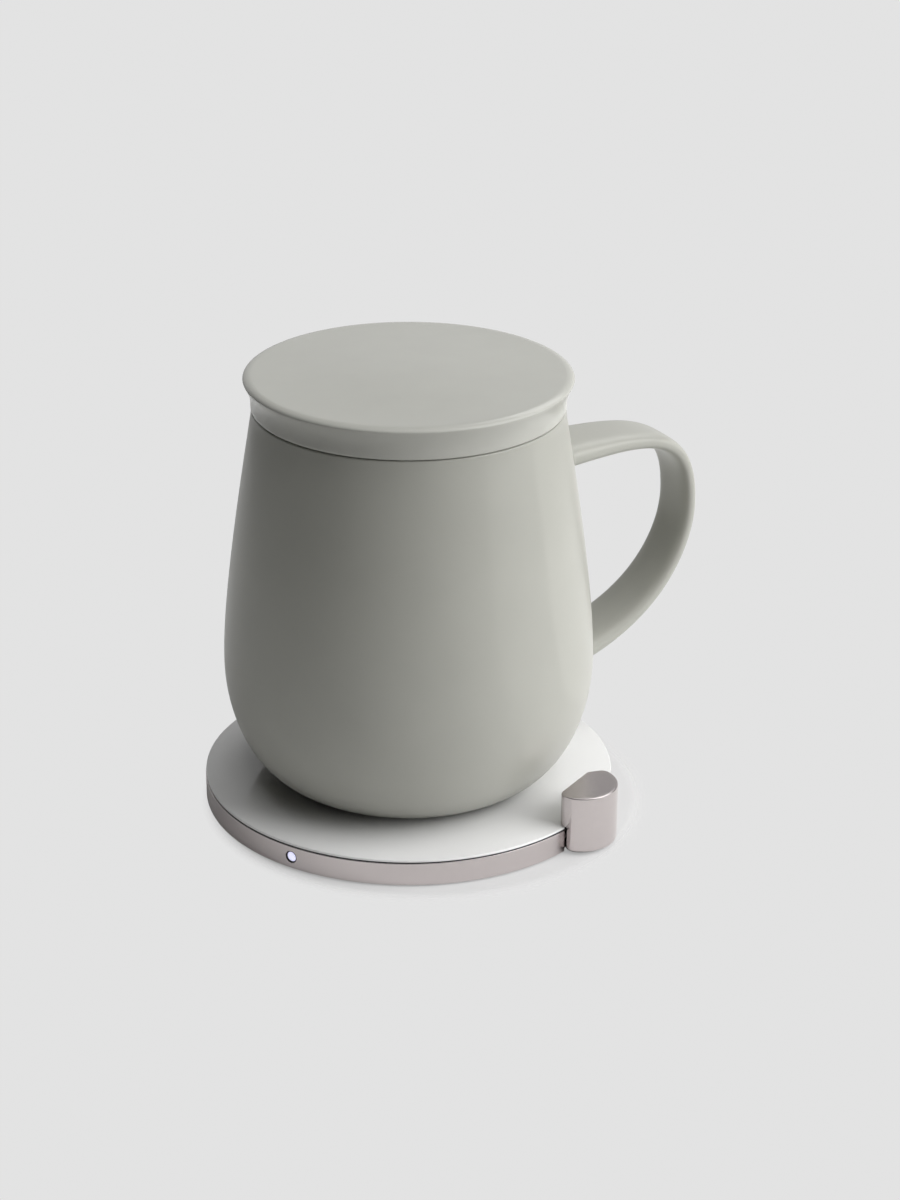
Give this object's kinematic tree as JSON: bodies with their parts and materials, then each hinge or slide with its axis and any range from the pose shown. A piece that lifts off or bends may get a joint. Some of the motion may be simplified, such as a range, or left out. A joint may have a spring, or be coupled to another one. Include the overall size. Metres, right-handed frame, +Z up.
{
  "type": "self-heating mug with warming pad",
  "caption": "Rounded ceramic mug with a strap handle and a low-crowned lid, standing on a thin round induction warming pad with a metal ring and a half-round power inlet",
  "frame": {"origin": "on the desk plane under the middle of the warming pad", "axes": "+Z up along the axis of the mug, +X towards the mug's handle, +Y to the left of it seen from above"},
  "size_m": [0.1282, 0.1015, 0.1092],
  "materials": {
    "mug_glaze": "satin warm grey glaze",
    "lid_glaze": "satin warm grey glaze",
    "heater": "thin dark resistive film",
    "heater_cover": "unglazed ceramic sheet",
    "silicone": "pale silicone",
    "white_plate": "polished white",
    "dark_rubber": "black gasket",
    "anodised": "satin anodised, faintly pink grey",
    "grey_plastic": "fine matt",
    "foot_rubber": "matt silicone",
    "copper": "enamelled copper",
    "pale_plastic": "heat-proof moulding",
    "ferrite": "sintered ferrite",
    "amber_film": "amber insulating film",
    "board": "green solder mask",
    "chip_plastic": "moulded black",
    "can_metal": "capacitor can",
    "led_body": "moulded white",
    "led_lens": "milky light pipe, lit cool white",
    "dark_plastic": "moulded black",
    "steel": "bright steel",
    "wire_cover": "wire insulation"
  },
  "bodies": {
    "pad": {"top_plate": "white_plate", "rim_gasket": "dark_rubber", "rim_ring": "anodised", "bottom_cover": "grey_plastic", "foot_pad": "foot_rubber", "induction_coil": "copper", "coil_leads": "copper", "coil_carrier": "pale_plastic", "ferrite_disc": "ferrite", "insulation_sheet": "amber_film", "circuit_board": "board", "driver_chips": "chip_plastic", "capacitors": "can_metal", "thermistor": "chip_plastic", "status_led": "led_body", "light_pipe": "led_lens", "led_bezel": "dark_plastic", "cover_screws": "steel", "inlet_shell": "anodised", "inlet_base": "dark_plastic", "inlet_board": "board", "usb_socket": "steel", "usb_tongue": "dark_plastic", "inlet_gasket": "dark_rubber", "inlet_screws": "steel", "inlet_wires": "wire_cover"},
    "mug": {"mug_body": "mug_glaze", "mug_handle": "mug_glaze", "heating_film": "heater", "film_cover": "heater_cover"},
    "lid": {"lid": "lid_glaze", "lid_seal": "silicone"}
  },
  "joints": [
    {"name": "mug_lift", "type": "slide", "parent": "pad", "child": "mug", "axis": [0, 0, 1], "range_m": [0, 0.15]},
    {"name": "lid_lift", "type": "slide", "parent": "mug", "child": "lid", "axis": [0, 0, 1], "range_m": [0, 0.08]}
  ]
}
